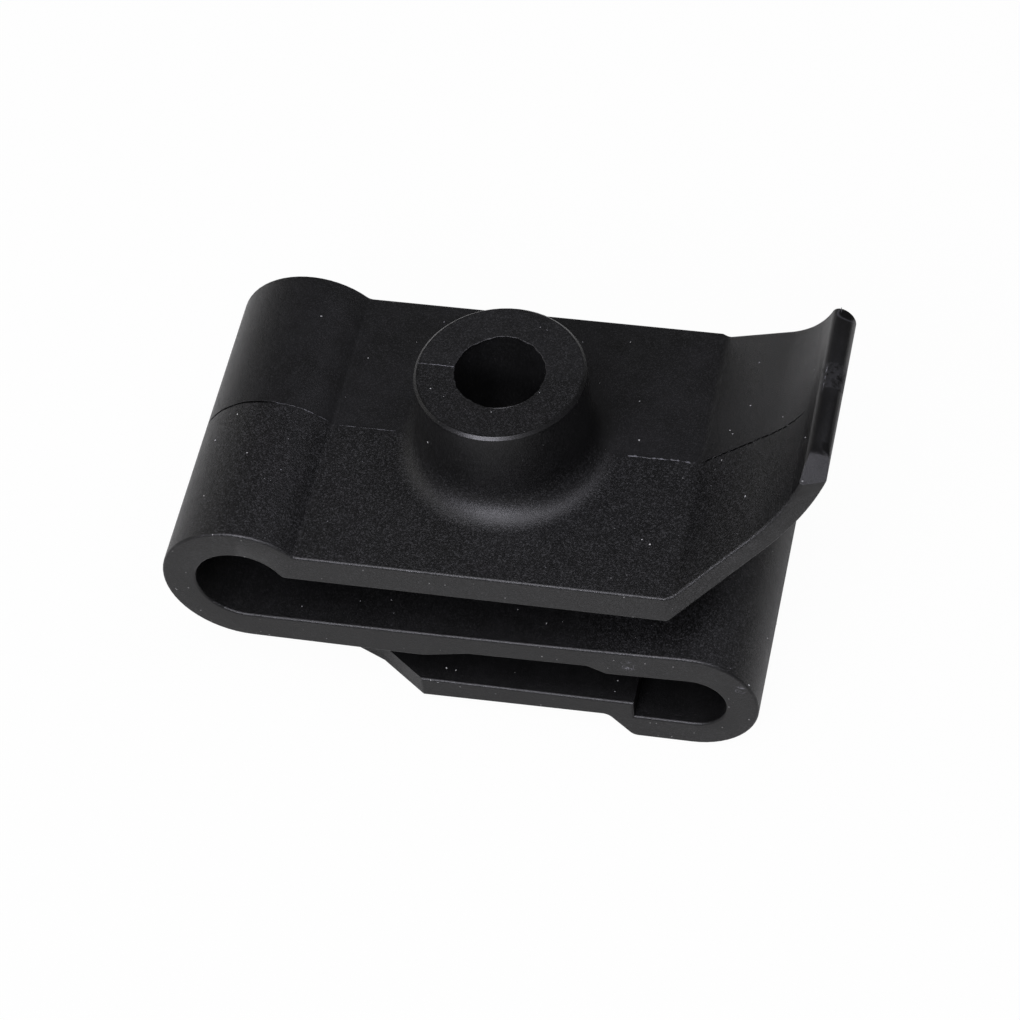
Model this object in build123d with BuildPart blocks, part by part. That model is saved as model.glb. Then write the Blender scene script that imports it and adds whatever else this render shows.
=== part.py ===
"""Moulded S-shaped U-clip nut: a boss with a screw bore on a folded spring strip.

The strip is drawn once as a closed section in the XZ plane and extruded across
the clip's width. Seen from the side it runs: curled lip, upper leaf with the
boss, rear loop, middle leaf, front loop, lower leaf, tongue.

Units are millimetres, +Z is up and +X points to the curled lip. The origin is
on the bore axis, at the underside of the upper leaf, where a panel bears.
"""
import os
from math import acos, asin, atan2, cos, degrees, hypot, radians, sin, sqrt, tan

from build123d import *

# Strip
clip_width = 14.8  # along Y
edge_radius = 0.12  # along both sides of the strip

# Screw path and boss
bore_diameter = 4.0  # pilot bore for a 4.8 mm thread-forming screw
passage_diameter = 5.6  # the screw passes the middle and lower leaves here
boss_rim_diameter = 7.34
boss_height = 4.7  # above the upper leaf
boss_draft = 1.0  # degrees
boss_rim_chamfer = 0.12
boss_root_radius = 1.25

# Upper leaf and curled lip
upper_wall = 1.55
lip_start = 8.37  # crease on the top face, from the bore axis
lip_wall = 1.08
lip_angle = 38.3  # degrees above the upper leaf
lip_straight = 3.76  # flat stretch before the curl
lip_curl_radius = 6.7  # on the lip's upper face
lip_curl_turn = 30.0  # degrees
lip_crease_radius = 0.5
lip_root_radius = 0.25  # under the crease, at the slot's mouth
lip_taper_start = 8.1  # from the bore axis
lip_taper_angle = 27.5  # degrees off the X axis, -Y side
lip_taper_far_angle = 24.9  # +Y side
nose_bevel_start = 2.3  # from the mid-plane, on the -Y side only
nose_bevel_angle = 14.0

# Rear loop
rear_loop_x = -10.4  # loop centre, from the bore axis
rear_loop_radius = 3.53  # outside
rear_loop_wall = 1.48
rear_kink_radius = 0.35  # where the loop meets the upper leaf

# Middle leaf
slot_height_rear = 2.92  # under the upper leaf, at the rear loop
slot_height_mouth = 2.57  # under the upper leaf, at the front loop
middle_wall = 1.6
relief_start = -2.75  # underside relief, from the bore axis
relief_rise = 2.0  # length of its gentle rear ramp
relief_fall = 0.8  # length of its front ramp
relief_end = 5.25
relief_wall = 1.17  # leaf left above the relief
relief_rear_radius = 1.6
relief_front_radius = 0.45

# Front loop
front_loop_x = 8.81  # loop centre, from the bore axis
front_loop_radius = 3.03  # outside
front_loop_wall = 1.43

# Lower leaf and tongue
lower_gap = 1.83  # from the middle leaf's underside to the lower leaf
lower_wall = 1.06  # at the step
step_x = 6.35  # inner step of the front loop, from the bore axis
ramp_foot_x = 6.2
ramp_top_x = 5.15
ramp_radius = 0.5
tongue_x = -8.0  # tip, from the bore axis
tongue_wall = 1.26  # at the tip
tongue_tip_radius = 0.4
tongue_taper_start = -3.0
tongue_taper_angle = 36.5  # degrees off the X axis, each side
tongue_waist_x = -5.2  # the taper turns gentler here
tongue_waist_angle = 24.0

# Places worked out from the sizes
half_width = clip_width / 2
overrun = edge_radius + lip_wall  # how far a cutting shape runs past the clip
middle_run = front_loop_x - rear_loop_x
middle_rise = slot_height_rear - slot_height_mouth
rear_inner_radius = rear_loop_radius - rear_loop_wall
rear_loop_z = rear_inner_radius - slot_height_rear
rear_bottom_z = rear_loop_z - rear_loop_radius
front_loop_z = -slot_height_mouth - front_loop_radius
front_bottom_z = front_loop_z - front_loop_radius
hollow_top_z = -slot_height_mouth - middle_wall
floor_z = front_bottom_z + front_loop_wall
hollow_radius = (hollow_top_z - floor_z) / 2
hollow_x = front_loop_x + front_loop_radius - front_loop_wall - hollow_radius
hollow_z = floor_z + hollow_radius
lower_top_z = rear_bottom_z - lower_gap
boss_top_z = upper_wall + boss_height


def chord_x(radius, height):
    """Half the chord of a circle, at a height above its centre."""
    return sqrt(radius**2 - height**2)


def middle_top_z(x):
    """Top of the middle leaf, which leaves the rear loop level and rises evenly to the mouth."""
    return -slot_height_rear + middle_rise * ((x - rear_loop_x) / middle_run) ** 2


def tangent_point(center, radius, point, side):
    """Where a straight line from a point touches a circle; side 1 is to the left of it, -1 to the right."""
    dx, dz = point[0] - center[0], point[1] - center[1]
    angle = atan2(dz, dx) + side * acos(radius / hypot(dx, dz))
    return center[0] + radius * cos(angle), center[1] + radius * sin(angle)


def lip_point(travel, depth):
    """A point of the curled lip: travel along its upper face, depth below that face."""
    straight = min(travel, lip_straight)
    turn = degrees((travel - straight) / lip_curl_radius)
    angle = radians(lip_angle + turn)
    start = radians(lip_angle)
    x = lip_start + straight * cos(start) + lip_curl_radius * (sin(angle) - sin(start))
    z = upper_wall + straight * sin(start) - lip_curl_radius * (cos(angle) - cos(start))
    return x + depth * sin(angle), z - depth * cos(angle)


# Corners of the section
lip_end = lip_straight + lip_curl_radius * radians(lip_curl_turn)
lip_end_angle = radians(lip_angle + lip_curl_turn)
nose_radius = lip_wall / 2
nose_center = lip_point(lip_end, nose_radius)
nose_top = (nose_center[0] + nose_radius * cos(lip_end_angle),
            nose_center[1] + nose_radius * sin(lip_end_angle))
crease_top = (lip_start, upper_wall)
crease_drop = upper_wall - lip_wall * cos(radians(lip_angle))
crease_bottom = (lip_point(0, lip_wall)[0] - crease_drop / tan(radians(lip_angle)), 0)
kink_top = (rear_loop_x + chord_x(rear_loop_radius, upper_wall - rear_loop_z), upper_wall)
kink_inner = (rear_loop_x + chord_x(rear_inner_radius, -rear_loop_z), 0)
relief = [
    (relief_start, middle_top_z(relief_start) - middle_wall),
    (relief_start + relief_rise, middle_top_z(relief_start + relief_rise) - relief_wall),
    (relief_end - relief_fall, middle_top_z(relief_end - relief_fall) - relief_wall),
    (relief_end, middle_top_z(relief_end) - middle_wall),
]
rear_end = tangent_point((rear_loop_x, rear_loop_z), rear_loop_radius, relief[0], -1)
hollow_end = tangent_point((hollow_x, hollow_z), hollow_radius, relief[3], -1)
mouth_slope = atan2(2 * middle_rise, middle_run)
mouth = (front_loop_x - front_loop_radius * sin(mouth_slope),
         front_loop_z + front_loop_radius * cos(mouth_slope))
mouth_pull = middle_run / 3  # a parabola's handles are a third of its run
tongue_top = (tongue_x, lower_top_z)
tongue_bottom = (tongue_x, lower_top_z - tongue_wall)
ramp_top = (ramp_top_x, lower_top_z - lower_wall)
ramp_foot = (ramp_foot_x, front_bottom_z)


def nearest(vertices, point):
    """The corner of a sketch next to a point given in the sketch's own axes."""
    return vertices.sort_by_distance((*point, 0))[0]


def ring_edges(part, height):
    """The round edges about the bore axis at a height."""
    rings = part.edges().filter_by(GeomType.CIRCLE).filter_by_position(Axis.Z, height, height)
    return rings.filter_by(lambda ring: abs(ring.arc_center.X) < edge_radius)


with BuildPart() as clip_body:
    # the folded strip, as one section
    with BuildSketch(Plane.XZ) as section:
        with BuildLine():
            # curled lip, from the crease up its upper face and back down its outer face
            Line(crease_top, lip_point(lip_straight, 0))
            ThreePointArc(lip_point(lip_straight, 0),
                          lip_point((lip_straight + lip_end) / 2, 0),
                          lip_point(lip_end, 0))
            ThreePointArc(lip_point(lip_end, 0), nose_top, lip_point(lip_end, lip_wall))
            ThreePointArc(lip_point(lip_end, lip_wall),
                          lip_point((lip_straight + lip_end) / 2, lip_wall),
                          lip_point(lip_straight, lip_wall))
            Line(lip_point(lip_straight, lip_wall), crease_bottom)
            # slot: upper leaf's underside, inside of the rear loop, middle leaf's top
            Line(crease_bottom, kink_inner)
            kink_angle = degrees(asin(-rear_loop_z / rear_inner_radius))
            CenterArc((rear_loop_x, rear_loop_z), rear_inner_radius, kink_angle, 270 - kink_angle)
            Bezier((rear_loop_x, -slot_height_rear),
                   (rear_loop_x + mouth_pull, -slot_height_rear),
                   (mouth[0] - mouth_pull, mouth[1] - mouth_pull * tan(mouth_slope)),
                   mouth)
            # outside of the front loop, lower leaf's underside and tip
            mouth_angle = 90 + degrees(mouth_slope)
            CenterArc((front_loop_x, front_loop_z), front_loop_radius, mouth_angle, -90 - mouth_angle)
            Polyline((front_loop_x, front_bottom_z), ramp_foot, ramp_top, tongue_bottom, tongue_top,
                     (step_x, lower_top_z), (step_x, floor_z), (hollow_x, floor_z))
            # inside of the front loop and the relieved underside of the middle leaf
            hollow_angle = degrees(atan2(hollow_end[1] - hollow_z, hollow_end[0] - hollow_x))
            CenterArc((hollow_x, hollow_z), hollow_radius, -90, 90 + hollow_angle)
            Polyline(hollow_end, *reversed(relief), rear_end)
            # outside of the rear loop and the top of the upper leaf
            end_angle = degrees(atan2(rear_end[1] - rear_loop_z, rear_end[0] - rear_loop_x))
            crown_turn = 360 - degrees(asin((upper_wall - rear_loop_z) / rear_loop_radius)) + end_angle
            CenterArc((rear_loop_x, rear_loop_z), rear_loop_radius, end_angle, -crown_turn)
            Line(kink_top, crease_top)
        make_face()
        for corner, radius in [
            (crease_top, lip_crease_radius),
            (crease_bottom, lip_root_radius),
            (kink_top, rear_kink_radius),
            (kink_inner, rear_kink_radius),
            (relief[0], relief_rear_radius),
            (relief[1], relief_rear_radius),
            (relief[2], relief_front_radius),
            (relief[3], relief_front_radius),
            (ramp_top, ramp_radius),
            (ramp_foot, ramp_radius),
            (tongue_top, tongue_tip_radius),
            (tongue_bottom, tongue_tip_radius),
        ]:
            fillet(nearest(section.vertices(), corner), radius)
    extrude(amount=half_width, both=True)
    fillet(clip_body.faces().filter_by(Axis.Y).edges(), edge_radius)

    # plan taper of the lip, each side at its own angle, with its edges rounded
    lip_reach = lip_point(lip_end, lip_wall)[0] + lip_wall
    for side, taper_angle in ((-1, radians(lip_taper_angle)), (1, radians(lip_taper_far_angle))):
        taper_run = (lip_reach - lip_taper_start) * tan(taper_angle)
        with BuildSketch(Plane.XY.offset(-slot_height_mouth / 2)):
            with BuildLine():
                Polyline((lip_taper_start, side * half_width),
                         (lip_reach, side * (half_width - taper_run)),
                         (lip_reach, side * (half_width + overrun)),
                         (lip_taper_start, side * (half_width + overrun)), close=True)
            make_face()
        extrude(amount=slot_height_mouth + nose_top[1], mode=Mode.SUBTRACT)
        outward = (sin(taper_angle), side * cos(taper_angle), 0)
        lip_taper = clip_body.faces().filter_by(Axis((0, 0, 0), outward))
        fillet(lip_taper.edges().filter_by(Axis.Z, reverse=True), edge_radius)

    # plan taper of the tongue, both sides
    waist_y = half_width - (tongue_taper_start - tongue_waist_x) * tan(radians(tongue_taper_angle))
    tip_y = waist_y - (tongue_waist_x - tongue_x) * tan(radians(tongue_waist_angle))
    with BuildSketch(Plane.XY.offset(lower_top_z + lower_gap / 2)):
        with BuildLine():
            Polyline((tongue_taper_start, half_width), (tongue_waist_x, waist_y), (tongue_x, tip_y),
                     (tongue_x, half_width + overrun), (tongue_taper_start, half_width + overrun), close=True)
        make_face()
        mirror(about=Plane.XZ)
    extrude(amount=-lower_gap - tongue_wall, mode=Mode.SUBTRACT)

    # shallow bevel on the nose, at its -Y end
    ahead = Vector(cos(lip_end_angle), 0, sin(lip_end_angle))
    bevel_normal = ahead * cos(radians(nose_bevel_angle)) - Vector(0, sin(radians(nose_bevel_angle)), 0)
    across = Vector(sin(lip_end_angle), 0, -cos(lip_end_angle))
    with BuildSketch(Plane((nose_top[0], -nose_bevel_start, nose_top[1]), across, bevel_normal)):
        Rectangle(lip_wall + 2 * overrun, clip_width)
    extrude(amount=lip_wall, mode=Mode.SUBTRACT)

    # boss on the upper leaf
    with Locations((0, 0, upper_wall)):
        Cone(boss_rim_diameter / 2 + boss_height * tan(radians(boss_draft)), boss_rim_diameter / 2,
             boss_height, align=(Align.CENTER, Align.CENTER, Align.MIN))
    fillet(ring_edges(clip_body, upper_wall), boss_root_radius)
    chamfer(ring_edges(clip_body, boss_top_z), boss_rim_chamfer)

    # bore through the boss and the upper leaf, wider passages through the leaves below
    with Locations((0, 0, boss_top_z)):
        Hole(bore_diameter / 2, depth=boss_top_z + slot_height_mouth / 2)
    with BuildSketch(Plane.XY.offset(-slot_height_mouth / 2)):
        Circle(passage_diameter / 2)
    extrude(amount=front_bottom_z, mode=Mode.SUBTRACT)

clip_body.part.label = "clip_body"

os.makedirs("parts", exist_ok=True)
export_step(clip_body.part, "parts/clip_body.step")
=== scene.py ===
"""Moulded clip nut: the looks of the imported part.

Laid out as an add-on with one operator a piece, and run as a script. Lengths in the
property groups are metres; the shape functions work in millimetres, with +X towards
the curled lip, +Y across the strip and +Z out of the boss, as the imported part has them.
"""

from math import cos, pi, radians, sin

import bmesh
import bpy
import numpy as np
from mathutils import Matrix, Vector


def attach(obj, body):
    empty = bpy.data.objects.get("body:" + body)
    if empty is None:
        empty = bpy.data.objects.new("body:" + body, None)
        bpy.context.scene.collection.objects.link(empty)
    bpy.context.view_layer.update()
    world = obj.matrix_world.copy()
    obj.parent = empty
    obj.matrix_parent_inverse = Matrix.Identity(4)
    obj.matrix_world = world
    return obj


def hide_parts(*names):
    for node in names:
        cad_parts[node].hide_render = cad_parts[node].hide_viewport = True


bl_info = {
    "name": "Moulded clip nut",
    "version": (1, 0, 0),
    "blender": (4, 5, 0),
    "location": "View3D > Sidebar > Clip nut",
    "description": "Dresses the packed clip nut: moulded skin, seam flash, gate scar and studio",
    "category": "Object",
}

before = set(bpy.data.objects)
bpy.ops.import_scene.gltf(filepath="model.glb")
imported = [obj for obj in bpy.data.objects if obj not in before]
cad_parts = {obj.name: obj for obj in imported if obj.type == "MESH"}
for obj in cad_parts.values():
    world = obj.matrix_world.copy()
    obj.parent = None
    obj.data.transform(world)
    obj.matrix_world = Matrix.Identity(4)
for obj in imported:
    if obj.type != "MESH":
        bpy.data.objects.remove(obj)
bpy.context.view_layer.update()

MM = 0.001
BODY = "root"
NODE = "clip_body"

# How far the nose's flash stays inside the part's box, in millimetres
BOX_SLACK = 0.004

# Indices of refraction of thin flash and dust, and of the moulded skin
FLASH_IOR = 1.46
SKIN_IOR = 1.42

# Where masks are 0 and where they are 1 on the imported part, in metres
NEAR_HALF = (0.0003, -0.0003)  # across the seam, along Y
SIDE_FACE = (0.00722, 0.00736)  # over an edge's round, along Y from the middle
ABOVE_LEAF = (0.00157, 0.00166)  # just over the upper leaf's top, along Z
UP_BOSS = (0.0030, 0.0050)  # up the boss's wall, along Z
ROOT_FILLET = (0.0034, 0.0026)  # down the boss's wall to its root, along Z
RIM_EDGE = (0.0058, 0.0060)  # up to the round below the boss's top, along Z
SLOT_FLOOR = (0.0002, -0.0003)  # from the upper leaf down into the slot, along Z
SLOT_DEPTH = (0.0070, 0.0030)  # from the slot's mouth inwards, along X
HOLLOW_DEPTH = (0.0112, 0.0106)  # from the front loop's outside inwards, along X
HOLLOW_BAND = (-0.0057, 0.0016, 0.0001)  # the lower slot's middle, half height and fade, along Z
LIP_CREASE = (0.0083, 0.0087)  # onto the lip, along X
LIP_END = (0.0131, 0.0124)  # short of the nose, along X
LIP_UPPER_FACE = (-0.0058, -0.0055)  # from under to over the lip, as Z less slope times X
LIP_SLOPE = 0.79
REAR_LOOP = (-0.0100, -0.0110)  # onto the rear loop, along X
ABOVE_BELLY = (-0.0046, -0.0040)  # over the rear loop's foot, along Z

# The groove where the mould halves meet: its middle, half width and fade, and its wander
GROOVE_BAND = (0.0, 0.00004, 0.00002)
GROOVE_WANDER = 0.00012

# Two scuffed patches on the near side face, as X, Z and reach, and the nose's oval cut
# facet, painted dark as shade with a painted highlight on its rim, as half its width round
# the nose and half its length along Y, all in metres
SCUFFS = ((0.00627, -0.00345, 0.00040), (0.01107, -0.00425, 0.00030))
SHADED_CUT_HALF_SIZE = (0.00038, 0.00033)

# Specks of dust: the cells' spacing, the largest radius, and the share of cells with one
SMALL_DUST = (0.0006, 0.00004, 0.09)
LARGE_DUST = (0.0014, 0.00006, 0.16)
FINE_DUST = (0.00032, 0.000036, 0.30)

WHITE = (1.0, 1.0, 1.0, 1.0)
FLOOR_REACH = 0.6  # metres from the middle to each side

# Directions of the camera's right, down and ahead, and its place in millimetres
CAMERA_RIGHT = (0.9768, 0.1984, -0.0812)
CAMERA_DOWN = (0.1061, -0.7767, -0.6208)
CAMERA_AHEAD = (-0.1862, 0.5978, -0.7797)
CAMERA_PLACE = (29.73, -96.55, 122.78)


# ---------------------------------------------------------------------------
# Sizes and colours a user would change
# ---------------------------------------------------------------------------


def length(name, description, default):
    """A length property, in metres."""
    return bpy.props.FloatProperty(
        name=name, description=description, default=default, unit="LENGTH", precision=5
    )


def turn(name, description, default):
    """An angle property; the default is given in degrees."""
    return bpy.props.FloatProperty(
        name=name, description=description, default=radians(default), subtype="ANGLE"
    )


def colour(name, description, default):
    """A linear RGB colour property."""
    return bpy.props.FloatVectorProperty(
        name=name,
        description=description,
        default=default,
        subtype="COLOR",
        size=3,
        min=0.0,
        max=1.0,
    )


def share(name, description, default):
    """A factor from 0 to 1."""
    return bpy.props.FloatProperty(
        name=name, description=description, default=default, subtype="FACTOR", min=0.0, max=1.0
    )


def power(name, description, default):
    """A lamp's power, in watts."""
    return bpy.props.FloatProperty(
        name=name, description=description, default=default, unit="POWER"
    )


class StripSizes(bpy.types.PropertyGroup):
    """The strip's section, where seam, scars and flash lie on it."""

    upper_wall: length("Upper wall", "Thickness of the upper leaf", 0.00155)
    lip_start: length("Lip start", "Crease on the top face, from the bore axis", 0.00837)
    lip_wall: length("Lip wall", "Thickness of the curled lip", 0.00108)
    lip_angle: turn("Lip angle", "Lip above the upper leaf", 38.3)
    lip_straight: length("Lip straight", "Flat stretch before the curl", 0.00376)
    lip_curl_radius: length("Curl radius", "On the lip's upper face", 0.0067)
    lip_curl_turn: turn("Curl turn", "How far the lip curls up", 30.0)
    rear_loop_place: length("Rear loop place", "Centre of the rear loop, along X", -0.0104)
    rear_loop_height: length("Rear loop height", "Centre of the rear loop, along Z", -0.00087)
    rear_loop_radius: length("Rear loop radius", "Outside radius of the rear loop", 0.00353)
    boss_top: length("Boss top", "Top face of the boss, along Z", 0.00625)
    boss_rim_radius: length("Boss rim", "Radius of the boss's flat top", 0.00355)
    boss_root_radius: length("Boss root", "Reach of the boss's root fillet", 0.0050)
    bore_radius: length("Bore radius", "Radius of the screw's pilot bore", 0.002)


class FlashSizes(bpy.types.PropertyGroup):
    """What the mould and its gates leave on the clip."""

    seam_width: length("Seam width", "Width of the parting line's flash", 0.00010)
    seam_height: length("Seam height", "How far the parting line stands up", 0.000035)
    bore_flash: length("Bore flash", "How far flash reaches into the bore", 0.00011)
    scar_start: length("Scar start", "Near end of the gate scar on the nose, along Y", 0.00036)
    scar_end: length("Scar end", "Far end of the gate scar, along Y", 0.00172)
    scar_height: length("Scar height", "Thickness of the nipped gate", 0.00004)
    # Place of the nose's cut facet at the far end, painted dark as shade, along Y
    shaded_cut_place: length("Cut place", "Dark cut at the nose's far end, along Y", 0.00447)
    speck_size: length("Speck size", "Largest specks of dust and cut flash", 0.00011)
    speck_count: bpy.props.IntProperty(
        name="Speck count", description="Specks over the whole part", default=330, min=1
    )


class FinishSettings(bpy.types.PropertyGroup):
    """The moulded plastic."""

    plastic: colour("Plastic", "Body colour of the black nylon", (0.0036, 0.0036, 0.0036))
    bloom: colour("Bloom", "Paler, bluish tone of the moulded skin", (0.0062, 0.0062, 0.0065))
    eroded: colour("Eroded", "Blacker tone between the near grain", (0.0008, 0.0008, 0.0008))
    # Whitened plastic, and also the painted highlight on the rim of the nose's cut facet
    whitened_and_highlight: colour("Whitened", "Flash and nipped edges, whitened by strain", (0.10, 0.10, 0.11))
    # Painted glint: a pale colour put into the grain where light would sparkle off it
    painted_glint: colour("Glint", "Fibre ends that catch the light in the grain", (0.028, 0.028, 0.029))
    dust: colour("Dust", "Specks of dust", (0.38, 0.38, 0.37))
    roughness: share("Roughness", "Satin of the far half", 0.38)
    coarse_grain: length("Coarse grain", "Grain size of the near mould half", 0.000052)
    fine_grain: length("Fine grain", "Grain size of the far mould half", 0.000046)
    grain_depth: length("Grain depth", "Depth of the coarse grain", 0.000022)


class StudioSettings(bpy.types.PropertyGroup):
    """Floor, lamps and camera."""

    focal_length: bpy.props.FloatProperty(
        name="Focal length", description="Lens on a 36 mm sensor", default=129.48, unit="CAMERA"
    )
    softbox_power: power("Softbox power", "Large soft lamp overhead, towards the front", 2.02)
    side_power: power("Side power", "Weak soft lamp at the left", 0.38)
    front_power: power("Front power", "Low strip lamp in front", 1.9)
    right_power: power("Right power", "Small lamp high at the right", 0.48)
    floor_card: colour("Floor card", "The floor, where the part mirrors it", (0.56, 0.56, 0.525))
    surround: share("Surround", "Brightness of the room round the table", 0.10)
    floor_glow: share("Floor glow", "How far the camera sees the floor as plain white", 0.97)
    floor_gloss: share("Floor gloss", "How far reflections see the floor as plain white", 0.04)


# ---------------------------------------------------------------------------
# Shader nodes
# ---------------------------------------------------------------------------


class Wire:
    """A node's output that arithmetic can be written on. Each operator adds its Math node."""

    def __init__(self, shop, socket):
        self.shop = shop
        self.socket = socket

    def math(self, operation, *others):
        """A Math node of this wire and the others, in that order."""
        values = dict(enumerate((self,) + others))
        return self.shop.node("ShaderNodeMath", {"operation": operation}, values)

    def __add__(self, other):
        return self.math("ADD", other)

    __radd__ = __add__

    def __mul__(self, other):
        return self.math("MULTIPLY", other)

    __rmul__ = __mul__

    def __sub__(self, other):
        return self.math("SUBTRACT", other)

    def __rsub__(self, other):
        return (self * -1.0) + other

    def __truediv__(self, other):
        return self.math("DIVIDE", other)

    def __pow__(self, other):
        return self.math("POWER", other)

    def __abs__(self):
        return self.math("ABSOLUTE")

    def most(self, other):
        """The larger of two values."""
        return self.math("MAXIMUM", other)

    def rise(self, low, high):
        """0 below low, 1 above high and a smooth step between; low may lie above high."""
        return self.shop.node(
            "ShaderNodeMapRange",
            {"interpolation_type": "SMOOTHSTEP", "clamp": True},
            {"Value": self, "From Min": low, "From Max": high, "To Min": 0.0, "To Max": 1.0},
        )

    def band(self, centre, half_width, soft):
        """1 within half_width of centre, falling to 0 over soft on both sides."""
        return abs(self - centre).rise(half_width + soft, half_width)

    def span(self, other):
        """The length of a flat vector with this wire and another as its two parts."""
        return (self * self + other * other).math("SQRT")


class Shop:
    """Adds nodes to one tree."""

    def __init__(self, tree):
        self.tree = tree
        tree.nodes.clear()

    def node(self, kind, chosen=None, values=None, output=0):
        """Adds a node of a type, with its settings and then its sockets' values or links.

        Gives one of its outputs, or None where it has none.
        """
        made = self.tree.nodes.new(kind)
        for key, value in (chosen or {}).items():
            setattr(made, key, value)
        for key, value in (values or {}).items():
            if isinstance(value, Wire):
                self.tree.links.new(value.socket, made.inputs[key])
            else:
                made.inputs[key].default_value = value
        return Wire(self, made.outputs[output]) if made.outputs else None

    def outputs(self, kind, names, values=None):
        """Several outputs, by name or number, of one new node."""
        sockets = self.node(kind, None, values).socket.node.outputs
        return [Wire(self, sockets[name]) for name in names]

    def place(self):
        """The Object coordinates, in metres."""
        return self.node("ShaderNodeTexCoord", output=3)

    def split(self, vector):
        """The three parts of a vector."""
        return self.outputs("ShaderNodeSeparateXYZ", range(3), {"Vector": vector})

    def blend(self, factor, low, high):
        """The colour low where factor is 0 and high where it is 1."""
        values = {"Factor": factor, 6: low, 7: high}
        return self.node("ShaderNodeMix", {"data_type": "RGBA"}, values, output=2)

    def noise(self, place, size, detail=2.0, roughness=0.5, distortion=0.0):
        """Noise from 0 to 1 whose lumps are about size metres across."""
        values = {"Scale": 1.0 / size, "Detail": detail, "Roughness": roughness}
        values.update({"Vector": place, "Distortion": distortion})
        return self.node("ShaderNodeTexNoise", {"noise_dimensions": "3D"}, values)

    def cells(self, place, size):
        """Cells about size metres across: the distance to each one's core, and its own tint."""
        values = {"Vector": place, "Scale": 1.0 / size}
        return self.outputs("ShaderNodeTexVoronoi", (0, 1), values)

    def gloss(self, base, satin, ior, extra=None):
        """A Principled shader of a colour and a roughness, with any extra sockets."""
        values = {"Base Color": base, "Roughness": satin, "IOR": ior, **(extra or {})}
        return self.node("ShaderNodeBsdfPrincipled", None, values)

    def mixed(self, factor, first, second):
        """The first shader where the factor is 0 and the second where it is 1."""
        return self.node("ShaderNodeMixShader", None, {0: factor, 1: first, 2: second})

    def show(self, surface):
        """Makes a shader the material's surface."""
        self.node("ShaderNodeOutputMaterial", None, {"Surface": surface})


def rgba(rgb):
    """A colour with full alpha."""
    return (*rgb, 1.0)


def new_material(name):
    """An empty material, and the shop that fills its tree."""
    material = bpy.data.materials.new(name)
    material.use_nodes = True
    return material, Shop(material.node_tree)


def speckles(shop, place, spacing, size, lots):
    """1 in round specks, one at most in each cell of a spacing; lots of the cells have one."""
    reach, tint = shop.cells(place, spacing)
    lot, width, _ = shop.split(tint)
    radius = (width * 0.6 + 0.4) * (size / spacing)
    return (radius - reach).rise(0.0, 0.02) * lot.rise(1.0 - lots, 1.0 - lots + 0.001)


def glint_cells(shop, place, size):
    """Cells for the painted glints: each cell has its own brightness, the fourth power of a random
    share.
    """
    return shop.split(shop.cells(place, size)[1])[0] ** 4.0


def scuffs(shop, place, x, z):
    """Thin curved scratches in two small patches of the near side of the front loop."""
    strand = shop.noise(place, 0.00045, distortion=1.5).band(0.5, 0.010, 0.014)
    patches = [
        (x - middle_x).span(z - middle_z).rise(reach, reach * 0.7)
        for middle_x, middle_z, reach in SCUFFS
    ]
    return strand * patches[0].most(patches[1])


def nose_masks(shop, place, fog):
    """Masks of the lip's round nose, of the gate's scar, of the painted shade on the oval cut facet
    and of the painted highlight on its rim.

    The scar and the cut have ragged edges, which fog makes wander.
    """
    flash = bpy.context.scene.clip_flash
    x, y, z = shop.split(place)
    nose_x, nose_z, radius, lean = nose_frame()
    off_x, off_z = x - nose_x * MM, z - nose_z * MM
    ahead = off_x * cos(lean) + off_z * sin(lean)
    upward = off_z * cos(lean) - off_x * sin(lean)
    nose = off_x.span(off_z).rise(radius * MM + 0.00012, radius * MM + 0.00002)
    nose = nose * ahead.rise(-0.0001, 0.00015)

    middle = (flash.scar_start + flash.scar_end) / 2
    half = (flash.scar_end - flash.scar_start) / 2
    scar = (y + (fog - 0.5) * 0.0004).band(middle, half - 0.00004, 0.00008) * nose

    # The oval cut facet: painted shade inside, painted highlight on its rim
    half_width, half_length = SHADED_CUT_HALF_SIZE
    from_shaded_cut = (upward / half_width).span((y - flash.shaded_cut_place) / half_length)
    from_shaded_cut = from_shaded_cut + (fog - 0.5) * 0.5
    shaded_cut = from_shaded_cut.rise(1.0, 0.85) * nose
    cut_rim_highlight = from_shaded_cut.band(1.12, 0.04, 0.10) * nose
    return nose, scar, shaded_cut, cut_rim_highlight


def boss_masks(x, y, z):
    """Masks of the boss's wall, of the fillet at its root and of the rim round its top."""
    strip = bpy.context.scene.clip_strip
    radius = x.span(y)
    root, rim, top = strip.boss_root_radius, strip.boss_rim_radius, strip.boss_top
    above = z.rise(*ABOVE_LEAF)
    wall = radius.rise(root + 0.0002, root - 0.0005) * above * z.rise(top - 0.00001, top - 0.00005)
    fillet = radius.rise(root + 0.0004, root - 0.0001) * z.rise(*ROOT_FILLET) * above
    edge = radius.rise(rim - 0.0001, rim) * z.rise(*RIM_EDGE)
    return wall, fillet, edge


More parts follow.
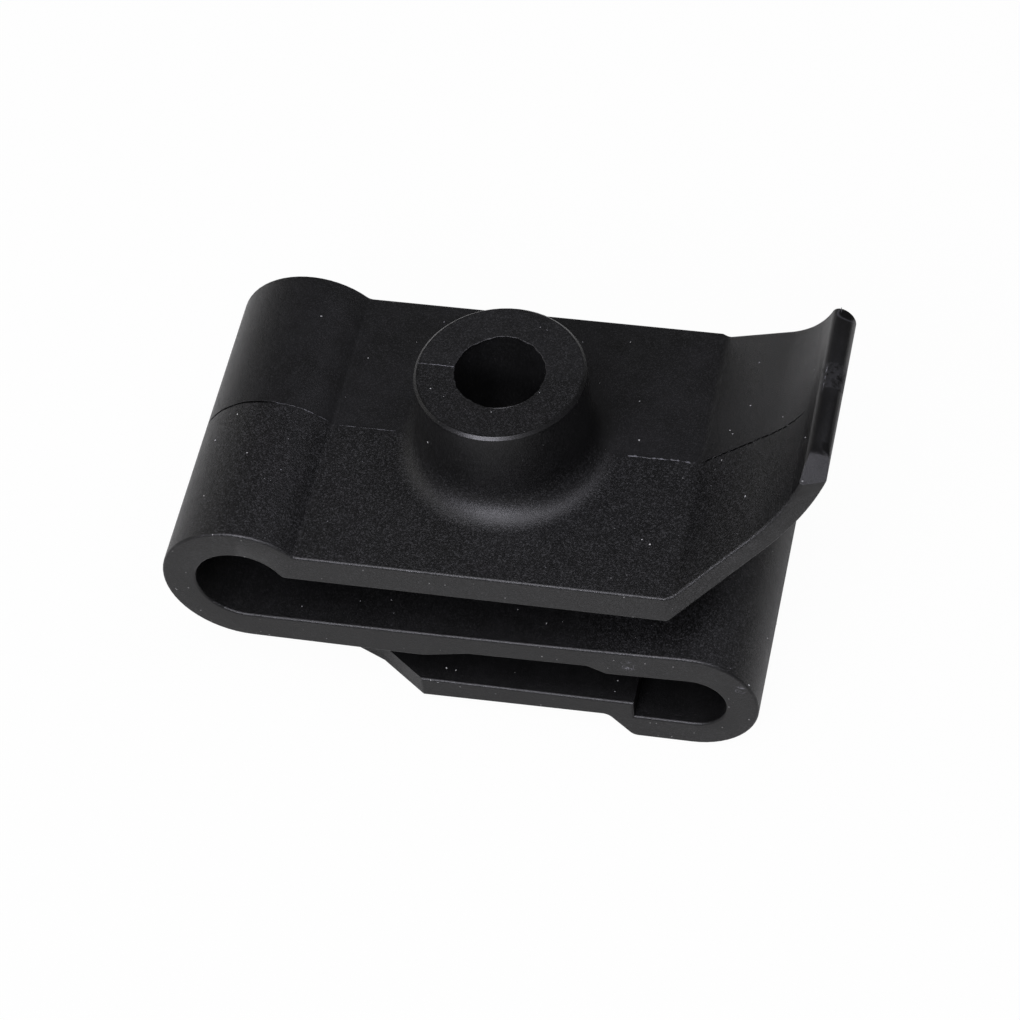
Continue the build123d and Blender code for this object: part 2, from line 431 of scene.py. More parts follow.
def shaded_seam_groove(shop, place):
    """1 in the thin groove where the mould halves don't quite meet, at Y = 0; the mask both bumps
    the groove in and paints shade into it.

    It shows on the rear loop's outside and, broken up, on the curled lip's upper face.
    """
    strip = bpy.context.scene.clip_strip
    x, y, z = shop.split(place)
    wander = (shop.noise(place, 0.0006, detail=3.0) - 0.5) * GROOVE_WANDER
    ragged = shop.noise(place, 0.00022, detail=1.0).rise(0.30, 0.52)
    on_lip = x.rise(*LIP_CREASE) * x.rise(*LIP_END)
    on_lip = on_lip * (z - x * LIP_SLOPE).rise(*LIP_UPPER_FACE)
    from_loop = (x - strip.rear_loop_place).span(z - strip.rear_loop_height)
    loop = strip.rear_loop_radius
    on_loop = x.rise(*REAR_LOOP) * from_loop.rise(loop - 0.0004, loop - 0.0002)
    # The groove's band, used for its bump and for the painted shade in it
    shaded_groove = (y + wander).band(*GROOVE_BAND) * z.rise(*ABOVE_BELLY)
    return shaded_groove * (on_lip * ragged).most(on_loop)


def painted_grain_glints(shop, place, near):
    """Painted glints of light off the grain: coarse on the near half, fine and faint on the far
    one.

    They thin out up the boss, in the upper slot and most of all in the front loop's hollow.
    """
    finish = bpy.context.scene.clip_finish
    x, _, z = shop.split(place)
    up_boss = z.rise(*UP_BOSS)
    evenly = near * (1.0 - up_boss) + up_boss * 0.7
    coarse = glint_cells(shop, place, finish.coarse_grain) * evenly
    fine = glint_cells(shop, place, finish.fine_grain) * (1.0 - near) * 0.4
    # Fewer painted glints in the upper slot and in the front loop's hollow
    in_slot = z.rise(*SLOT_FLOOR) * x.rise(*SLOT_DEPTH)
    in_hollow = z.band(*HOLLOW_BAND) * x.rise(*HOLLOW_DEPTH)
    return coarse.most(fine) * (1.0 - (in_slot * 0.65).most(in_hollow * 0.85))


def settled_dust(shop, place, side, boss_wall):
    """Specks of dust: small and large ones all over, and fine ones on the side faces."""
    small = speckles(shop, place, *SMALL_DUST)
    large = speckles(shop, place, *LARGE_DUST)
    fine = speckles(shop, place, *FINE_DUST) * side.most(boss_wall * 0.2) * 0.55
    return small.most(large).most(fine)


def moulded_plastic(name, scarred=0.0):
    """Black moulded nylon, by place on the part.

    Colour: the body colour, lifted towards the bluish bloom by slow clouds and blacker on
    the near half, whose mould is spark-eroded, with painted glints of light off the grain,
    whitened where it is scarred or scuffed, a painted highlight on the rim of the nose's cut
    facet, and pale dust. Roughness: satin, uneven as the clouds and the grain are. Bump: the
    grain, faint on the side faces, the nose and the boss's wall, the seam's groove and the
    scar's pits. A dull black is painted in as shade in the groove, on the nose's oval cut
    facet and in the deepest pits. A scarred finish is mottled all over, as nipped plastic is.
    """
    finish = bpy.context.scene.clip_finish
    material, shop = new_material(name)
    place = shop.place()
    x, y, z = shop.split(place)

    clouds = shop.noise(place, 0.0031, detail=3.0)
    fog = shop.noise(place, 0.0009, detail=4.0, roughness=0.6)
    coarse = shop.noise(place, finish.coarse_grain, detail=3.0, roughness=0.6)
    fine = shop.noise(place, finish.fine_grain)
    pits = shop.noise(place, 0.00028, detail=4.0, roughness=0.7)

    near = y.rise(*NEAR_HALF)
    side = abs(y).rise(*SIDE_FACE)
    nose, scar, shaded_cut, cut_rim_highlight = nose_masks(shop, place, fog)
    scar = scar.most(scarred)
    boss_wall, boss_fillet, boss_edge = boss_masks(x, y, z)
    smooth = (side * 0.6).most(boss_wall * 0.85 - boss_fillet * 0.4).most(nose * 0.8)
    smooth = smooth.most(boss_edge)
    shaded_groove = shaded_seam_groove(shop, place)
    painted_glints = painted_grain_glints(shop, place, near)
    scuffed = scuffs(shop, place, x, z) * side
    dusty = settled_dust(shop, place, side, boss_wall)

    tone = (clouds * 0.6 + fog * 0.4).rise(0.36, 0.66)
    torn = (pits.rise(0.46, 0.56) * 0.09 - pits.rise(0.44, 0.38) * 0.02) * scar
    base = shop.blend(tone, rgba(finish.plastic), rgba(finish.bloom))
    base = shop.blend(near * 0.6, base, rgba(finish.eroded))
    # Painted highlight: the grain's cells lighten the colour as glints, less where the skin is
    # smooth
    base = shop.blend(painted_glints * (1.0 - smooth * 0.75), base, rgba(finish.painted_glint))
    # Whitened where the gate was torn, and a painted highlight on the cut facet's rim
    base = shop.blend(torn.most(cut_rim_highlight * 0.25), base, rgba(finish.whitened_and_highlight))
    base = shop.blend(scuffed, base, rgba(finish.whitened_and_highlight))
    base = shop.blend(dusty * (1.0 - shaded_groove), base, rgba(finish.dust))

    satin = (fog - 0.5) * 0.12 + (coarse - 0.5) * 0.25 + finish.roughness
    satin = satin + boss_fillet * 0.05 - boss_edge * 0.03 + scar * 0.08 + dusty * 0.4

    grain = near * coarse + (1.0 - near) * (fine * 0.6 + 0.2) - 0.5
    relief = grain * (1.0 - smooth * 0.8) - shaded_groove * 2.5 + (pits - 0.5) * scar * 0.8
    depths = {"Strength": 1.0, "Distance": finish.grain_depth, "Height": relief}
    bump = shop.node("ShaderNodeBump", None, depths)

    skin = shop.gloss(base, satin, SKIN_IOR, {"Normal": bump})
    # Painted shade: a dull black mixed in at the seam's groove, the nose's cut facet and the scar's
    # deepest pits
    black = shop.node("ShaderNodeBsdfDiffuse", None, {"Color": rgba((0.001, 0.001, 0.001))})
    painted_shade = (shaded_groove * 0.9).most(shaded_cut * 0.45).most(pits.rise(0.46, 0.38) * scar * 0.5)
    shop.show(shop.mixed(painted_shade, skin, black))
    return material


def whitened_flash(name):
    """Thin flash: pale where it was strained, as clouds decide, and nearly black elsewhere."""
    finish = bpy.context.scene.clip_finish
    material, shop = new_material(name)
    strained = shop.noise(shop.place(), 0.00030, detail=3.0, roughness=0.6).rise(0.40, 0.62)
    base = shop.blend(strained, rgba(finish.bloom), rgba(finish.whitened_and_highlight))
    shop.show(shop.gloss(base, strained * 0.2 + 0.35, FLASH_IOR))
    return material


def dust_finish(name):
    """Chips of dust and cut flash, each a little lighter or darker than the next."""
    finish = bpy.context.scene.clip_finish
    material, shop = new_material(name)
    shade = shop.noise(shop.place(), 0.0011, detail=1.0).rise(0.35, 0.65)
    base = shop.blend(shade, rgba(finish.whitened_and_highlight), rgba(finish.dust))
    shop.show(shop.gloss(base, shade * 0.3 + 0.5, FLASH_IOR))
    return material


# ---------------------------------------------------------------------------
# Shapes
# ---------------------------------------------------------------------------


def linked_object(name, data):
    """A new object of some data, in the scene's collection, at the origin."""
    made = bpy.data.objects.new(name, data)
    bpy.context.scene.collection.objects.link(made)
    return made


def finish_piece(piece, material):
    """Gives a piece its material and slot, and lets it ride with the part."""
    piece.data.materials.clear()
    piece.data.materials.append(material)
    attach(piece, BODY)
    return piece


def waves(run, seed, longest, count=9):
    """A smooth seeded wander of unit height along a run of positions.

    The sum of sines whose lengths fall by a third from the longest, each as high as the
    root of its length, with seeded phases.
    """
    rng = np.random.default_rng(seed)
    order = np.arange(count)
    lengths = longest * 0.66 ** order
    height = np.sqrt(lengths / longest)
    phases = rng.uniform(0, 2 * pi, count)
    angles = 2 * pi * np.asarray(run)[..., None] / lengths + phases
    return (np.sin(angles) * height).sum(-1) / np.sqrt((height ** 2).sum() / 2) / 2


def ring_waves(angle, seed, first, last):
    """A closed seeded wander of unit height round a ring.

    The sum of cosines with first to last waves a turn, each as high as one over the root
    of its number of waves.
    """
    rng = np.random.default_rng(seed)
    turns = np.arange(first, last + 1)
    phases = rng.uniform(0, 2 * pi, len(turns))
    height = 1 / np.sqrt(turns)
    waves_round = np.cos(np.asarray(angle)[..., None] * turns + phases) * height
    return waves_round.sum(-1) / np.sqrt((height ** 2).sum() / 2) / 2


def run_out(run, start, end, taper):
    """1 along a run from start to end, falling evenly to 0 over a taper at each end."""
    return np.clip(np.minimum(run - start, end - run) / taper, 0, 1)


def grid_faces(rows, columns, closed_rows=False):
    """Four-cornered faces of a grid of rows, each a closed ring; the rows may close too."""
    row = np.arange(rows if closed_rows else rows - 1)[:, None]
    column = np.arange(columns)[None, :]
    after_row = (row + 1) % rows
    after_column = (column + 1) % columns
    corners = (
        row * columns + column,
        row * columns + after_column,
        after_row * columns + after_column,
        after_row * columns + column,
    )
    return np.stack(np.broadcast_arrays(*corners), -1).reshape(-1, 4)


class Stock:
    """Gathers rings of points and their faces, in millimetres, into one mesh."""

    def __init__(self):
        self.points = []
        self.faces = []
        self.count = 0

    def add_rings(self, rings, closed_rows=False):
        """Adds a stack of closed rings, capped at both ends unless the stack closes."""
        rows, columns, _ = rings.shape
        self.points.append(rings.reshape(-1, 3))
        self.faces += (grid_faces(rows, columns, closed_rows) + self.count).tolist()
        if not closed_rows:
            first = np.arange(columns) + self.count
            self.faces.append(first[::-1].tolist())
            self.faces.append((first + (rows - 1) * columns).tolist())
        self.count += rows * columns

    def piece(self, name):
        """The gathered mesh as an object at the origin, smooth but for folds of over 60 degrees."""
        mesh = bpy.data.meshes.new(name)
        mesh.from_pydata((np.concatenate(self.points) * MM).tolist(), [], self.faces)
        mesh.validate()
        work = bmesh.new()
        work.from_mesh(mesh)
        bmesh.ops.recalc_face_normals(work, faces=work.faces)
        work.to_mesh(mesh)
        work.free()
        mesh.polygons.foreach_set("use_smooth", np.ones(len(mesh.polygons), bool))
        mesh.set_sharp_from_angle(angle=radians(60))
        return linked_object(name, mesh)


def bead(middle, across, outward, half_width, height, sunk=0.02, around=12):
    """Rings of a low bead along a path.

    Round each ring an angle a runs from 0 to 360 degrees: the point is middle plus across
    times half_width cos a, plus outward times height sin a where sin a is positive, and
    times sunk sin a below, so the bead's foot is bedded in the face that it lies on.
    """
    angle = np.linspace(0, 2 * pi, around, endpoint=False)
    width = np.asarray(half_width)[:, None] * np.cos(angle)
    above, below = np.maximum(np.sin(angle), 0), np.minimum(np.sin(angle), 0)
    rise = np.asarray(height)[:, None] * above + sunk * below
    return middle[:, None] + across[:, None] * width[..., None] + outward[:, None] * rise[..., None]


def in_mm(group, *names):
    """Some lengths of a property group, in millimetres."""
    return [getattr(group, name) / MM for name in names]


def outer_line(run):
    """The strip's outer face at Y = 0, for runs in millimetres.

    A run counts from the kink between rear loop and upper leaf. Below 0 it goes back over
    the loop's arc. From 0 it follows the leaf to the crease, then the lip's flat, then the
    arc of its curl, whose centre lies off the end of the flat, along its normal. Gives the
    points, the outward normals and the leaf's length from kink to crease.
    """
    strip = bpy.context.scene.clip_strip
    wall, start = in_mm(strip, "upper_wall", "lip_start")
    flat, curl = in_mm(strip, "lip_straight", "lip_curl_radius")
    loop_x, loop_z, loop = in_mm(strip, "rear_loop_place", "rear_loop_height", "rear_loop_radius")
    run = np.asarray(run, float)
    kink = np.arcsin((wall - loop_z) / loop)
    kink_x = loop_x + loop * np.cos(kink)
    leaf = start - kink_x
    round_loop = kink - run / loop
    lean = strip.lip_angle
    along_lip = run - leaf
    flat_end_x, flat_end_z = start + flat * cos(lean), wall + flat * sin(lean)
    curl_lean = lean + (along_lip - flat) / curl
    stretch = [run < 0, run < leaf, along_lip < flat]
    x = np.select(
        stretch,
        [loop_x + loop * np.cos(round_loop), kink_x + run, start + along_lip * cos(lean)],
        flat_end_x + curl * (np.sin(curl_lean) - sin(lean)),
    )
    z = np.select(
        stretch,
        [loop_z + loop * np.sin(round_loop), wall + 0 * run, wall + along_lip * sin(lean)],
        flat_end_z + curl * (cos(lean) - np.cos(curl_lean)),
    )
    tilt = np.select(stretch, [round_loop - pi / 2, 0 * run, lean + 0 * run], curl_lean)
    zero = np.zeros_like(x)
    points = np.stack([x, zero, z], -1)
    normals = np.stack([-np.sin(tilt), zero, np.cos(tilt)], -1)
    return points, normals, leaf


def smooth_copy(node, name, crease):
    """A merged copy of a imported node, smooth across edges that turn by less than crease.

    The normals are then weighted by face area, so that flat faces stay flat up to their
    rounded edges.
    """
    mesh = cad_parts[node].data.copy()
    mesh.name = name
    piece = linked_object(name, mesh)
    work = bmesh.new()
    work.from_mesh(mesh)
    bmesh.ops.remove_doubles(work, verts=work.verts, dist=0.002 * MM)
    bmesh.ops.dissolve_degenerate(work, edges=work.edges, dist=0.0005 * MM)
    work.to_mesh(mesh)
    work.free()
    for spare in ("custom_normal", "sharp_edge"):
        if spare in mesh.attributes:
            mesh.attributes.remove(mesh.attributes[spare])
    mesh.polygons.foreach_set("use_smooth", np.ones(len(mesh.polygons), bool))
    mesh.set_sharp_from_angle(angle=crease)
    weighted = piece.modifiers.new("Flat faces stay flat", "WEIGHTED_NORMAL")
    weighted.mode = "FACE_AREA"
    weighted.keep_sharp = True
    return piece


# ---------------------------------------------------------------------------
# Pieces
# ---------------------------------------------------------------------------


class CLIPNUT_OT_body(bpy.types.Operator):
    """Builds the moulded strip and boss, smooth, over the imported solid"""

    bl_idname = "clipnut.body"
    bl_label = "Moulded body"

    def execute(self, context):
        body = smooth_copy(NODE, "moulded_body", radians(40))
        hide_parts(NODE)
        finish_piece(body, moulded_plastic("moulded_nylon"))
        return {"FINISHED"}


class CLIPNUT_OT_seam(bpy.types.Operator):
    """Raises the parting line's flash along the outer face and over the boss's top"""

    bl_idname = "clipnut.seam"
    bl_label = "Parting line"

    def execute(self, context):
        strip = context.scene.clip_strip
        flash = context.scene.clip_flash
        width, height = in_mm(flash, "seam_width", "seam_height")
        root, rim, bore, top = in_mm(
            strip, "boss_root_radius", "boss_rim_radius", "bore_radius", "boss_top"
        )
        leaf = outer_line(0.0)[2]
        kink_x = in_mm(strip, "lip_start")[0] - leaf
        stretches = (  # start, end, share of the full height, and seed
            (-2.7, -0.25, 0.2, 11),
            (0.3, -root - kink_x, 0.14, 12),
            (root - kink_x + 0.2, leaf - 0.25, 1.0, 13),
        )
        stock = Stock()
        for start, end, lowered, seed in stretches:
            stock.add_rings(seam_bead(start, end, width * lowered ** 0.5, height * lowered, seed))
        stock.add_rings(boss_seam(-rim, -bore, top, width * 0.55, height * 0.5))
        finish_piece(stock.piece("parting_line"), whitened_flash("seam_flash"))
        return {"FINISHED"}


def seam_bead(start, end, width, height, seed):
    """A bead on the outer face from one run to another.

    It wanders sideways by about a third of its width. Its height is the full height where
    a seeded wander is high and nothing where it is low, so that the line breaks up. Both
    ends run out to nothing.
    """
    run = np.linspace(start, end, int((end - start) / 0.03))
    points, normals, _ = outer_line(run)
    across = np.broadcast_to((0.0, 1.0, 0.0), points.shape)
    middle = points + across * (waves(run, seed, 2.0) * width * 0.3)[:, None]
    level = np.clip(0.45 + waves(run, seed + 50, 0.9) * 0.9, 0.0, 1.0)
    level = level * run_out(run, start, end, 0.3)
    return bead(middle, across, normals, width / 2 * (0.35 + 0.65 * level), height * level + 0.001)


def boss_seam(start, end, top, width, height):
    """A like bead on the boss's top, from one place along X to another, near Y = 0.04."""
    x = np.linspace(start, end, 60)
    level = np.clip(0.6 + waves(x, 31, 0.8) * 0.7, 0.05, 1.0)
    middle = np.stack([x, 0.04 + waves(x, 32, 1.5) * 0.02, np.full_like(x, top)], -1)
    across = np.broadcast_to((0.0, 1.0, 0.0), middle.shape)
    outward = np.broadcast_to((0.0, 0.0, 1.0), middle.shape)
    return bead(middle, across, outward, width / 2 * (0.5 + 0.5 * level), height * level)


class CLIPNUT_OT_bore_flash(bpy.types.Operator):
    """Rags the bore's mouth with thin flash"""

    bl_idname = "clipnut.bore_flash"
    bl_label = "Bore flash"

    def execute(self, context):
        strip = context.scene.clip_strip
        bore, top = in_mm(strip, "bore_radius", "boss_top")
        reach = in_mm(context.scene.clip_flash, "bore_flash")[0]
        stock = Stock()
        stock.add_rings(bore_ring(bore, top, reach), closed_rows=True)
        finish_piece(stock.piece("bore_flash"), moulded_plastic("flash_skin", scarred=0.3))
        return {"FINISHED"}


def bore_ring(bore, top, reach):
    """A closed ragged ring inside the bore's mouth.

    At each angle the ring's section is an ellipse just under the boss's top, from inside
    the wall to a reach that wanders with 2 to 31 waves a turn. Its thickness wanders too.
    """
    angle = np.linspace(0, 2 * pi, 360, endpoint=False)
    wander = ring_waves(angle, 5, 2, 9) * 0.6 + ring_waves(angle, 6, 12, 31) * 0.4
    inward = reach * np.clip(0.5 + 0.5 * wander, 0.04, 1.0)
    thick = 0.035 + 0.015 * np.clip(ring_waves(angle, 7, 3, 12), -1, 1)
    middle_radius = bore + 0.02 - (inward + 0.02) / 2
    spin = np.linspace(0, 2 * pi, 10, endpoint=False)
    radius = middle_radius[:, None] + ((inward + 0.04) / 2)[:, None] * np.cos(spin)
    height = top - 0.03 + thick[:, None] * np.sin(spin)
    return np.stack([radius * np.cos(angle)[:, None], radius * np.sin(angle)[:, None], height], -1)


def nose_frame():
    """The round nose's axis in X and Z, its radius, and the lean of the lip's end."""
    strip = bpy.context.scene.clip_strip
    flat, curl, wall = in_mm(strip, "lip_straight", "lip_curl_radius", "lip_wall")
    leaf = outer_line(0.0)[2]
    points, normals, _ = outer_line([leaf + flat + curl * strip.lip_curl_turn])
    axis = points[0] - normals[0] * wall / 2
    return axis[0], axis[2], wall / 2, strip.lip_angle + strip.lip_curl_turn


class CLIPNUT_OT_gate_scar(bpy.types.Operator):
    """Leaves the nipped gate and its torn edges on the nose"""

    bl_idname = "clipnut.gate_scar"
    bl_label = "Gate scar"

    def execute(self, context):
        flash = context.scene.clip_flash
        start, end, height = in_mm(flash, "scar_start", "scar_end", "scar_height")
        shaded_cut = in_mm(flash, "shaded_cut_place")[0]
        slivers = (  # start, end, degrees above the X axis, height, and seed
            (start - 0.15, end - 0.1, 116, 0.03, 21),
            (start - 0.05, end - 0.35, 9, 0.07, 22),
            (start + 0.65, end + 0.05, 20, 0.05, 23),
            (shaded_cut + 0.02, shaded_cut + 0.3, 100, 0.03, 24),
        )
        scar = Stock()
        scar.add_rings(scar_pad(start, end, height))
        finish_piece(scar.piece("gate_scar"), moulded_plastic("nipped_gate", scarred=1.0))
        torn = Stock()
        for sliver in slivers:
            torn.add_rings(nose_sliver(*sliver))
        finish_piece(torn.piece("gate_edges"), whitened_flash("torn_flash"))
        return {"FINISHED"}


def nose_room(angle, radius):
    """How far the nose's round could rise at each angle before it left the part's box.

    The box touches the nose at its top and tip, so it is a square about the nose's axis,
    taken smaller by a little slack.
    """
    return (radius - BOX_SLACK) / np.maximum(abs(np.cos(angle)), abs(np.sin(angle))) - radius


def scar_pad(start, end, height):
    """A pad round the nose between two places along Y.

    Its outer face lies on the nose's round from -52 to 47 degrees off the lip's lean,
    raised by the height times a slow seeded mottle, less towards its edges, and nipped so
    that it stays in the nose's box. Its back is a smaller arc inside the nose.
    """
    nose_x, nose_z, radius, lean = nose_frame()
    y = np.linspace(start, end, 60)
    turns = np.radians(np.linspace(-52, 47, 44))
    edge = np.clip((radians(50) - abs(turns + radians(2.5))) / radians(12), 0, 1) ** 0.5
    mottle = waves(y, 41, 0.9)[:, None] * 0.2 + waves(turns, 42, 1.2) * 0.15
    lift = height * np.clip(0.7 + mottle, 0.3, 1.1) * edge * run_out(y, start, end, 0.3)[:, None]
    angle = lean + turns
    outer = radius + np.minimum(lift, np.maximum(nose_room(angle, radius), -BOX_SLACK))
    back_angle = lean + turns[::-1][::4]
    inner = np.full((len(y), len(back_angle)), radius * 0.8)
    reach = np.concatenate([outer, inner], 1)
    around = np.concatenate([angle, back_angle])
    along = np.broadcast_to(y[:, None], reach.shape)
    return np.stack([nose_x + reach * np.cos(around), along, nose_z + reach * np.sin(around)], -1)


def nose_sliver(start, end, degrees_up, height, seed):
    """A torn sliver along the nose at an angle above the X axis, wandering by a few degrees.

    It is a bead whose height and width follow a seeded wander, kept in the nose's box.
    """
    nose_x, nose_z, radius, _ = nose_frame()
    y = np.linspace(start, end, 70)
    angle = radians(degrees_up) + radians(5) * waves(y, seed, 0.8)
    level = np.clip(0.6 + 0.5 * waves(y, seed + 7, 0.4), 0.1, 1.0) * run_out(y, start, end, 0.2)
    outward = np.stack([np.cos(angle), 0 * y, np.sin(angle)], -1)
    across = np.stack([-np.sin(angle), 0 * y, np.cos(angle)], -1)
    middle = np.stack([nose_x + 0 * y, y, nose_z + 0 * y], -1) + outward * radius
    lift = np.minimum(height * level, np.maximum(nose_room(angle, radius), 0.0) * 0.9)
    return bead(middle, across, outward, 0.007 + 0.014 * level, lift)


class CLIPNUT_OT_dust(bpy.types.Operator):
    """Scatters dust and chips of cut flash over the whole part"""

    bl_idname = "clipnut.dust"
    bl_label = "Dust and chips"

    def execute(self, context):
        size = in_mm(context.scene.clip_flash, "speck_size")[0]
        count = context.scene.clip_flash.speck_count
        places, normals = scattered_places(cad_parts[NODE].data, count, 8)
        rng = np.random.default_rng(9)
        sizes = size / 2 * rng.uniform(0.35, 1.0, count) ** 1.5
        spins = rng.uniform(0, 2 * pi, count)
        stock = Stock()
        for speck in zip(places, normals, sizes, spins):
            stock.add_rings(chip(*speck))
        finish_piece(stock.piece("dust_and_chips"), dust_finish("dust"))
        return {"FINISHED"}


def scattered_places(mesh, count, seed):
    """Seeded places on a mesh and their normals, in millimetres, as likely as a face is large.

    Only faces well inside the part's box are taken, so that a speck stays in it.
    """
    mesh.calc_loop_triangles()
    triangles = np.empty(len(mesh.loop_triangles) * 3, np.int32)
    mesh.loop_triangles.foreach_get("vertices", triangles)
    corners = np.empty(len(mesh.vertices) * 3, np.float32)
    mesh.vertices.foreach_get("co", corners)
    corners = corners.reshape(-1, 3)[triangles.reshape(-1, 3)] / MM
    cross = np.cross(corners[:, 1] - corners[:, 0], corners[:, 2] - corners[:, 0])
    area = np.linalg.norm(cross, axis=1)
    normals = cross / np.maximum(area, 1e-9)[:, None]
    middle = corners.mean(1)
    low, high = corners.min((0, 1)), corners.max((0, 1))
    inside = np.all((middle > low + 0.15) & (middle < high - 0.15), axis=1)
    rng = np.random.default_rng(seed)
    chosen = rng.choice(len(area), count, p=area * inside / (area * inside).sum())
    share_of_face = rng.dirichlet((1, 1, 1), count)
    return (corners[chosen] * share_of_face[:, :, None]).sum(1), normals[chosen]


def chip(place, normal, radius, spin):
    """Four rings of a rounded chip, half sunk in its face, whose width is a share of its length.

    The rings lie at four heights on an ellipsoid, from below the face to near its top.
    """
    helper = np.array((0.0, 0.0, 1.0)) if abs(normal[2]) < 0.9 else np.array((1.0, 0.0, 0.0))
    side = np.cross(normal, helper)
    side /= np.linalg.norm(side)
    other = np.cross(normal, side)
    long_way = side * cos(spin) + other * sin(spin)
    short_way = np.cross(normal, long_way)
    angle = np.linspace(0, 2 * pi, 8, endpoint=False)
    flatness = 0.6
    round_chip = long_way * np.cos(angle)[:, None] + short_way * (flatness * np.sin(angle))[:, None]
    levels = np.radians((-60, -10, 30, 65))[:, None, None]
    return place + radius * (round_chip * np.cos(levels) + normal * (flatness * np.sin(levels)))


class CLIPNUT_OT_studio(bpy.types.Operator):
    """Sets the floor that the clip rests on, the lamps, the surround and the camera"""

    bl_idname = "clipnut.studio"
    bl_label = "Studio"

    def execute(self, context):
        studio = context.scene.clip_studio
        make_floor(studio)
        light_surround(studio)
        make_lamps(studio)
        make_camera(studio)
        return {"FINISHED"}


def resting_plane():
    """How much the floor falls along X, and its height at X = 0.

    The part stands on the front loop's foot and on the rear loop's belly. The slope is the
    least of those from the foot to every vertex behind the bore, so none lies below it.
    """
    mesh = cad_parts[NODE].data
    places = np.empty(len(mesh.vertices) * 3, np.float32)
    mesh.vertices.foreach_get("co", places)
    x, _, z = places.reshape(-1, 3).T
    front = np.argmin(z)
    behind = x < 0
    slopes = (z[behind] - z[front]) / (x[front] - x[behind])
    slope = float(slopes.min())
    height = float((z + slope * x).min())
    return slope, height


def make_floor(studio):
    """A pale floor, seen white by the camera where it is lit, and darker under the part."""
    slope, height = resting_plane()
    corners = np.array([(-1, -1), (1, -1), (1, 1), (-1, 1)]) * FLOOR_REACH
    heights = height - slope * corners[:, 0]
    mesh = bpy.data.meshes.new("floor")
    mesh.from_pydata(np.column_stack([corners, heights]).tolist(), [], [(0, 1, 2, 3)])
    floor = linked_object("floor", mesh)
    material, shop = new_material("floor_card")
    card = shop.node("ShaderNodeBsdfDiffuse", None, {"Color": rgba(studio.floor_card)})
    white = shop.node("ShaderNodeEmission", None, {"Color": WHITE, "Strength": 1.0})
    kinds = ("Is Camera Ray", "Is Glossy Ray", "Is Transmission Ray")
    camera, glossy, through = shop.outputs("ShaderNodeLightPath", kinds)
    plainly = (camera * studio.floor_glow).most(glossy.most(through) * studio.floor_gloss)
    shop.show(shop.mixed(plainly, card, white))
    mesh.materials.append(material)


def light_surround(studio):
    """The room round the table: dim, and plain white to the camera."""
    world = bpy.data.worlds.new("surround")
    bpy.context.scene.world = world
    world.use_nodes = True
    shop = Shop(world.node_tree)
    (camera,) = shop.outputs("ShaderNodeLightPath", ["Is Camera Ray"])
    values = {"Color": WHITE, "Strength": camera.most(studio.surround)}
    background = shop.node("ShaderNodeBackground", None, values)
    shop.node("ShaderNodeOutputWorld", None, {"Surface": background})


def make_lamp(name, place, size, energy, tint):
    """A soft lamp at a place, aimed at the part; its size is width and height, all in metres."""
    lamp = bpy.data.lights.new(name, "AREA")
    lamp.shape = "RECTANGLE"
    lamp.size, lamp.size_y = size
    lamp.energy = energy
    lamp.color = tint
    made = linked_object(name, lamp)
    made.location = place
    made.rotation_euler = Vector(place).to_track_quat("Z", "Y").to_euler()


def make_lamps(studio):
    """A large softbox overhead, a low strip in front, and weak lamps at the right and left."""
    bluish, cool, warm = (0.93, 0.92, 1.0), (0.91, 0.90, 1.0), (1.0, 0.98, 0.95)
    make_lamp("softbox", (0.0, -0.22, 0.47), (0.32, 0.30), studio.softbox_power, bluish)
    make_lamp("front_strip", (-0.09, -0.39, 0.30), (0.26, 0.12), studio.front_power, cool)
    make_lamp("right_lamp", (0.25, 0.025, 0.43), (0.12, 0.12), studio.right_power, cool)
    make_lamp("side_lamp", (-0.42, 0.07, 0.26), (0.30, 0.25), studio.side_power, warm)


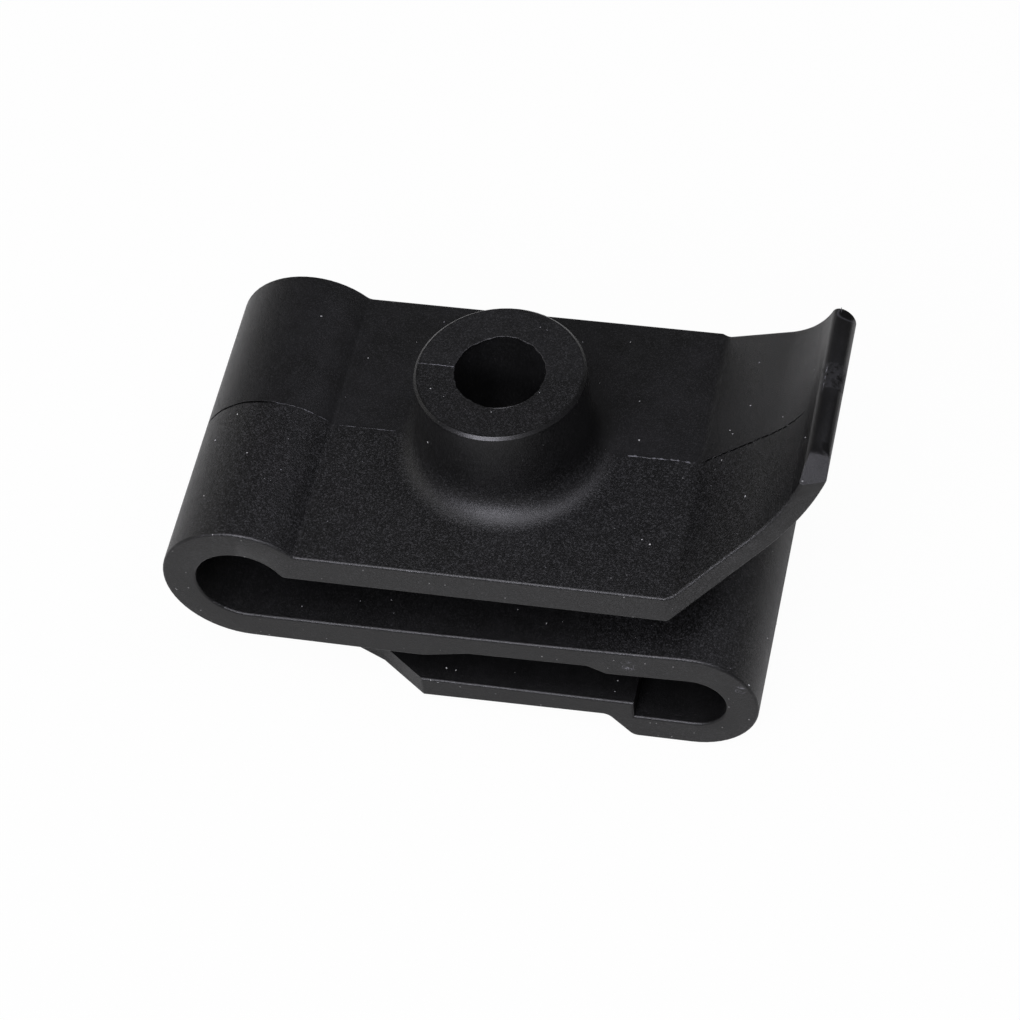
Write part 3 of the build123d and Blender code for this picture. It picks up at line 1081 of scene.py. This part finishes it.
def make_camera(studio):
    """The camera, level with the leaning floor, looking down on the near side from the right."""
    camera = bpy.data.cameras.new("camera")
    camera.sensor_width = 36.0
    camera.lens = studio.focal_length
    camera.clip_start = 0.01
    camera.clip_end = 10.0
    made = linked_object("camera", camera)
    axes = (Vector(CAMERA_RIGHT), -Vector(CAMERA_DOWN), -Vector(CAMERA_AHEAD))
    turned = Matrix(axes).transposed().to_4x4()
    made.matrix_world = Matrix.Translation(Vector(CAMERA_PLACE) * MM) @ turned
    bpy.context.scene.camera = made


# ---------------------------------------------------------------------------
# Panel, registering and running
# ---------------------------------------------------------------------------

OPERATORS = (
    CLIPNUT_OT_body,
    CLIPNUT_OT_seam,
    CLIPNUT_OT_bore_flash,
    CLIPNUT_OT_gate_scar,
    CLIPNUT_OT_dust,
    CLIPNUT_OT_studio,
)

GROUPS = {
    "clip_strip": StripSizes,
    "clip_flash": FlashSizes,
    "clip_finish": FinishSettings,
    "clip_studio": StudioSettings,
}


class CLIPNUT_PT_panel(bpy.types.Panel):
    """Lists the clip nut's pieces and their settings"""

    bl_idname = "CLIPNUT_PT_panel"
    bl_label = "Clip nut"
    bl_space_type = "VIEW_3D"
    bl_region_type = "UI"
    bl_category = "Clip nut"

    def draw(self, context):
        for operator in OPERATORS:
            self.layout.operator(operator.bl_idname)
        for group in GROUPS:
            box = self.layout.box()
            for name in GROUPS[group].__annotations__:
                box.prop(getattr(context.scene, group), name)


def register():
    """Registers the property groups, the operators and the panel."""
    for name, group in GROUPS.items():
        bpy.utils.register_class(group)
        setattr(bpy.types.Scene, name, bpy.props.PointerProperty(type=group))
    for made in OPERATORS + (CLIPNUT_PT_panel,):
        bpy.utils.register_class(made)


def unregister():
    """Takes them out again."""
    for made in reversed(OPERATORS + (CLIPNUT_PT_panel,)):
        bpy.utils.unregister_class(made)
    for name, group in GROUPS.items():
        delattr(bpy.types.Scene, name)
        bpy.utils.unregister_class(group)


def main():
    """Registers the add-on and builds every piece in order."""
    register()
    bpy.context.scene.view_settings.view_transform = "Standard"
    for operator in OPERATORS:
        group, name = operator.bl_idname.split(".")
        getattr(getattr(bpy.ops, group), name)()


if __name__ == "__main__":
    main()
